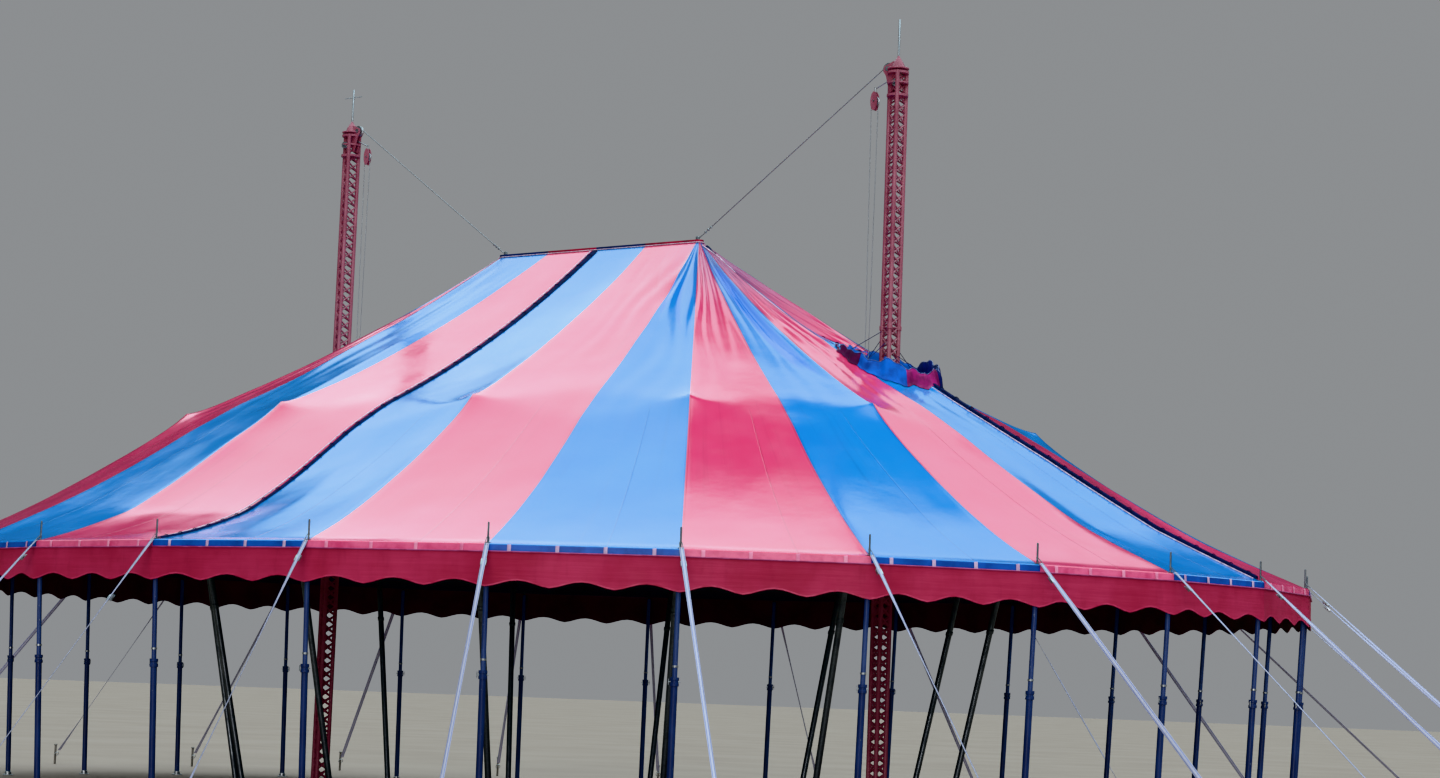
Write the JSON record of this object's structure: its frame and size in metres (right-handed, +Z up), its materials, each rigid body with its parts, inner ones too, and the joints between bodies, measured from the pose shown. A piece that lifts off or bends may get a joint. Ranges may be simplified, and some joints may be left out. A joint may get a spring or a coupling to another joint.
{
  "type": "circus big top tent",
  "caption": "Oval big top tent: a striped canopy hung from a short ridge beam between lattice masts, held out by guyed side poles.",
  "frame": {"origin": "on the ground under the middle of the ridge beam", "axes": "+X along the ridge to the right mast, -Y towards the front long side, +Z up"},
  "size_m": [26.0056, 19.815, 9.838],
  "materials": {
    "canvas": "glossy coated canvas in wide blue and red panels",
    "valance": "coated canvas, red, with a pale hem",
    "pole_paint": "dark blue paint, with blue and white webbing on the straps",
    "galvanised_steel": "dull galvanised steel",
    "mast_paint": "weathered red paint",
    "collar_paint": "blue paint under gathered canvas",
    "ridge_paint": "dark blue paint"
  },
  "bodies": {
    "root": {"canvas_front_right": "canvas", "valance_front_right": "valance", "canvas_front_left": "canvas", "valance_front_left": "valance", "canvas_back_left": "canvas", "valance_back_left": "valance", "canvas_back_right": "canvas", "valance_back_right": "valance", "side_pole_01": "pole_paint", "side_pole_02": "pole_paint", "side_pole_03": "pole_paint", "side_pole_04": "pole_paint", "side_pole_05": "pole_paint", "side_pole_06": "pole_paint", "side_pole_07": "pole_paint", "side_pole_08": "pole_paint", "side_pole_09": "pole_paint", "side_pole_10": "pole_paint", "side_pole_11": "pole_paint", "side_pole_12": "pole_paint", "side_pole_13": "pole_paint", "side_pole_14": "pole_paint", "side_pole_15": "pole_paint", "side_pole_16": "pole_paint", "side_pole_17": "pole_paint", "side_pole_18": "pole_paint", "side_pole_19": "pole_paint", "side_pole_20": "pole_paint", "side_pole_21": "pole_paint", "side_pole_22": "pole_paint", "side_pole_23": "pole_paint", "side_pole_24": "pole_paint", "side_pole_25": "pole_paint", "side_pole_26": "pole_paint", "side_pole_27": "pole_paint", "side_pole_28": "pole_paint", "quarter_pole_01": "galvanised_steel", "quarter_pole_02": "galvanised_steel", "quarter_pole_03": "galvanised_steel", "quarter_pole_04": "galvanised_steel", "quarter_pole_05": "galvanised_steel", "quarter_pole_06": "galvanised_steel", "quarter_pole_07": "galvanised_steel", "quarter_pole_08": "galvanised_steel", "quarter_pole_09": "galvanised_steel", "quarter_pole_10": "galvanised_steel", "quarter_pole_11": "galvanised_steel", "quarter_pole_12": "galvanised_steel", "mast_right": "mast_paint", "mast_collar_right": "collar_paint", "ridge_cable_right": "galvanised_steel", "mast_left": "mast_paint", "mast_collar_left": "collar_paint", "ridge_cable_left": "galvanised_steel", "ridge_beam": "ridge_paint"}
  },
  "joints": []
}
